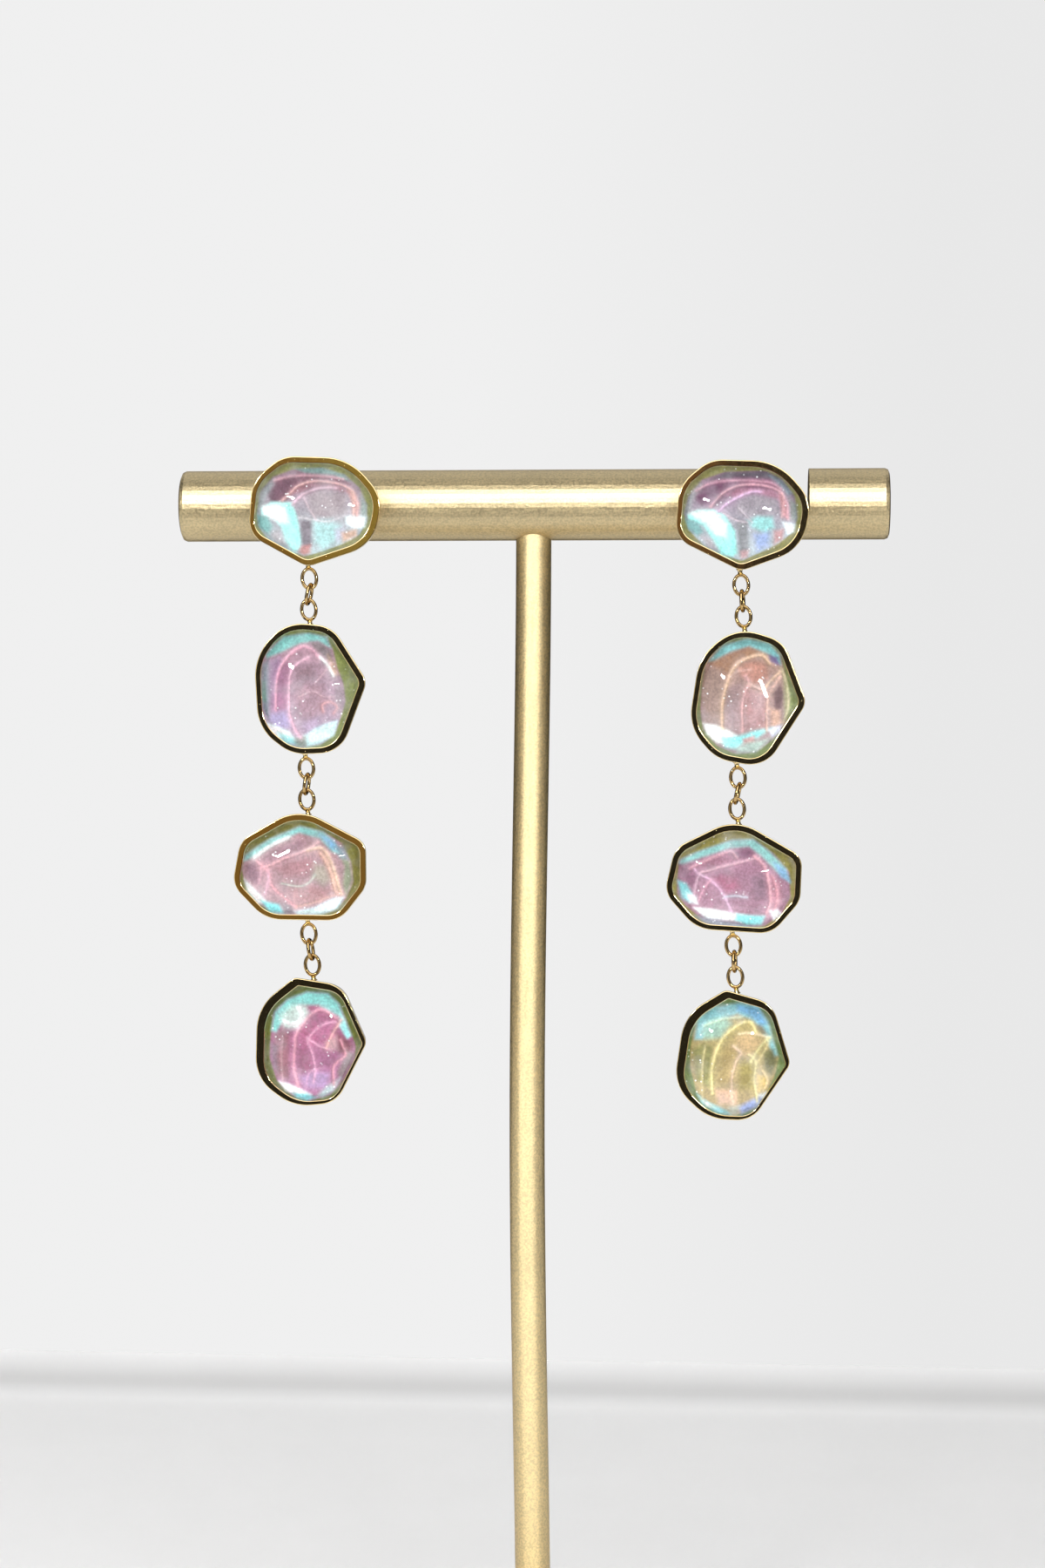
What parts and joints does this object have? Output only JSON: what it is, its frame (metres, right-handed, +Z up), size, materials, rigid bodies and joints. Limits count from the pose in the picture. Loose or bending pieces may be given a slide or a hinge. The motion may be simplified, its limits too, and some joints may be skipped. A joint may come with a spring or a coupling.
{
  "type": "pair of linear drop earrings on a T-bar display stand",
  "caption": "Pair of long drop earrings with bezel-set iridescent glass stones on short chains, hanging by their pins in the notches of a gold T-bar stand with a round base.",
  "frame": {"origin": "centre of the base's underside, on the surface that the stand rests on", "axes": "+Z up along the post, +X along the bar to the viewer's right, -Y towards the viewer, so the stones face -Y"},
  "size_m": [0.08, 0.07, 0.146],
  "materials": {
    "stand_gold": "satin pale gold plate, finely pebbled",
    "polished_gold": "polished gold plate",
    "glass_mauve": "clear glass with an iridescent mauve and aqua back",
    "glass_pink": "clear glass with an iridescent pink back",
    "glass_magenta": "clear glass with an iridescent magenta back",
    "glass_peach": "clear glass with an iridescent peach and pink back",
    "glass_honey": "clear glass with an iridescent honey and blue back"
  },
  "bodies": {
    "root": {"stand_base": "stand_gold", "stand_post": "stand_gold", "stand_bar": "stand_gold", "bezel_left_1": "polished_gold", "bezel_left_2": "polished_gold", "bezel_left_3": "polished_gold", "bezel_left_4": "polished_gold", "bezel_right_1": "polished_gold", "bezel_right_2": "polished_gold", "bezel_right_3": "polished_gold", "bezel_right_4": "polished_gold", "chain_link_left_1": "polished_gold", "chain_link_left_2": "polished_gold", "chain_link_left_3": "polished_gold", "chain_link_right_1": "polished_gold", "chain_link_right_2": "polished_gold", "chain_link_right_3": "polished_gold", "ear_nut_left": "polished_gold", "ear_nut_right": "polished_gold", "stone_left_1": "glass_mauve", "stone_left_2": "glass_pink", "stone_left_3": "glass_pink", "stone_left_4": "glass_magenta", "stone_right_1": "glass_mauve", "stone_right_2": "glass_peach", "stone_right_3": "glass_magenta", "stone_right_4": "glass_honey"}
  },
  "joints": []
}
